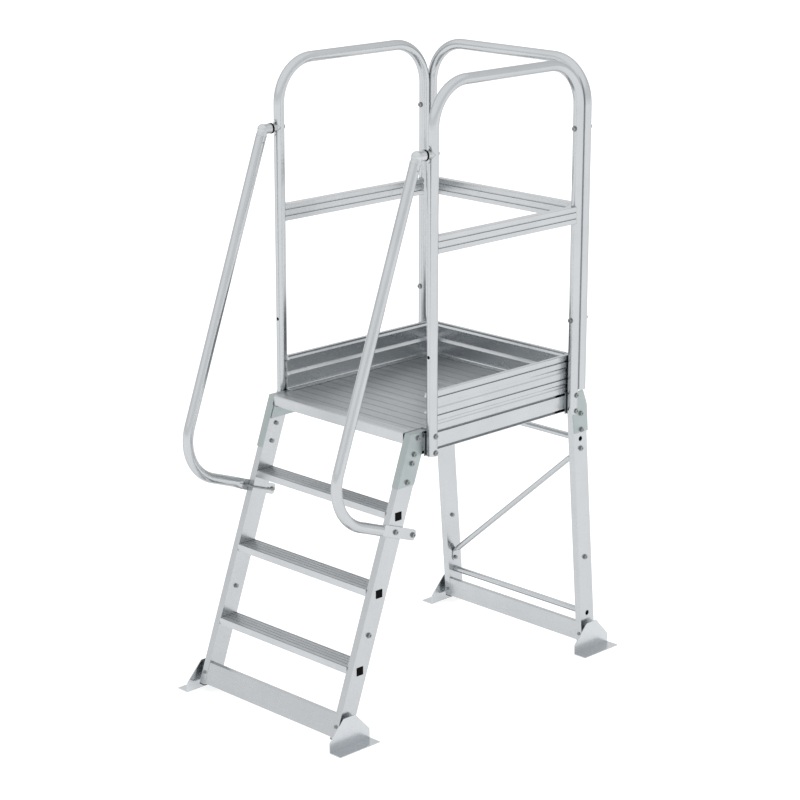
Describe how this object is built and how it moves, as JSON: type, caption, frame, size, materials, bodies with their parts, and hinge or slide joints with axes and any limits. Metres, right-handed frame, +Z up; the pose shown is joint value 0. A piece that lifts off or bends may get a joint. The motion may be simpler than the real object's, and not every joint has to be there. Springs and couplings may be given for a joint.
{
  "type": "platform ladder",
  "caption": "Aluminium platform ladder: leaning stepped ladder and rear leg frame carry a ribbed work deck with tube guard rails, toe boards, handrails and tilting feet.",
  "frame": {"origin": "on the floor, at the middle of the footprint", "axes": "+X to the right seen from the ladder side, +Y from the ladder foot towards the back, +Z up"},
  "size_m": [0.778, 1.321, 2.05],
  "materials": {
    "profile_aluminium": "bright extruded profile with fine drawing lines",
    "tube_aluminium": "bright drawn tube",
    "tread_aluminium": "ribbed anti-slip extrusion",
    "zinc_plate": "zinc-plated sheet",
    "cast_aluminium": "tumbled casting",
    "fastener_steel": "zinc-plated fasteners",
    "black_plastic": "moulded black plastic"
  },
  "bodies": {
    "frame": {"deck_nosing": "tread_aluminium", "deck_plank_1": "tread_aluminium", "deck_plank_2": "tread_aluminium", "deck_plank_3": "tread_aluminium", "diagonal_brace": "tube_aluminium", "elbow_bolts": "fastener_steel", "elbow_head_left": "cast_aluminium", "elbow_head_right": "cast_aluminium", "elbow_rings": "black_plastic", "elbow_stubs": "tube_aluminium", "foot_spacers": "fastener_steel", "front_beam": "profile_aluminium", "guard_hoop_left": "tube_aluminium", "guard_hoop_right": "tube_aluminium", "gussets": "zinc_plate", "handrail_left": "tube_aluminium", "handrail_right": "tube_aluminium", "hoop_tie_bolts": "fastener_steel", "knee_rail_left": "profile_aluminium", "knee_rail_right": "profile_aluminium", "ladder_base_plate": "profile_aluminium", "ladder_bolts": "fastener_steel", "ladder_bracket_left": "zinc_plate", "ladder_bracket_right": "zinc_plate", "leg_end_blocks": "black_plastic", "leg_end_screws": "fastener_steel", "pivot_nuts": "fastener_steel", "post_bolts": "fastener_steel", "post_packers": "zinc_plate", "rail_pins": "fastener_steel", "rail_stirrups": "fastener_steel", "rear_base_plate": "profile_aluminium", "rear_beam": "profile_aluminium", "rear_bracket_left": "zinc_plate", "rear_bracket_right": "zinc_plate", "rear_crossbar_lower": "tube_aluminium", "rear_crossbar_upper": "tube_aluminium", "rear_frame_bolts": "fastener_steel", "rear_hoop": "tube_aluminium", "rear_knee_rail": "profile_aluminium", "rear_leg_left": "profile_aluminium", "rear_leg_right": "profile_aluminium", "rear_toe_board": "profile_aluminium", "side_beam_left": "profile_aluminium", "side_beam_right": "profile_aluminium", "slot_plugs": "black_plastic", "step_1": "tread_aluminium", "step_2": "tread_aluminium", "step_3": "tread_aluminium", "step_plugs": "black_plastic", "stile_left": "profile_aluminium", "stile_right": "profile_aluminium", "tie_washers": "fastener_steel", "toe_board_left": "profile_aluminium", "toe_board_right": "profile_aluminium", "toe_corners": "profile_aluminium"},
    "foot_front_right": {"foot_plate_front_right": "zinc_plate"},
    "foot_front_left": {"foot_plate_front_left": "zinc_plate"},
    "foot_rear_right": {"foot_plate_rear_right": "zinc_plate"},
    "foot_rear_left": {"foot_plate_rear_left": "zinc_plate"}
  },
  "joints": [
    {"name": "foot_front_right_pivot", "type": "hinge", "parent": "frame", "child": "foot_front_right", "pos_m": [0.339, -0.57503, 0.06], "axis": [1, 0, 0], "range_deg": [-12, 12]},
    {"name": "foot_front_left_pivot", "type": "hinge", "parent": "frame", "child": "foot_front_left", "pos_m": [-0.339, -0.57503, 0.06], "axis": [1, 0, 0], "range_deg": [-12, 12]},
    {"name": "foot_rear_right_pivot", "type": "hinge", "parent": "frame", "child": "foot_rear_right", "pos_m": [0.339, 0.57503, 0.06], "axis": [1, 0, 0], "range_deg": [-12, 12]},
    {"name": "foot_rear_left_pivot", "type": "hinge", "parent": "frame", "child": "foot_rear_left", "pos_m": [-0.339, 0.57503, 0.06], "axis": [1, 0, 0], "range_deg": [-12, 12]}
  ]
}
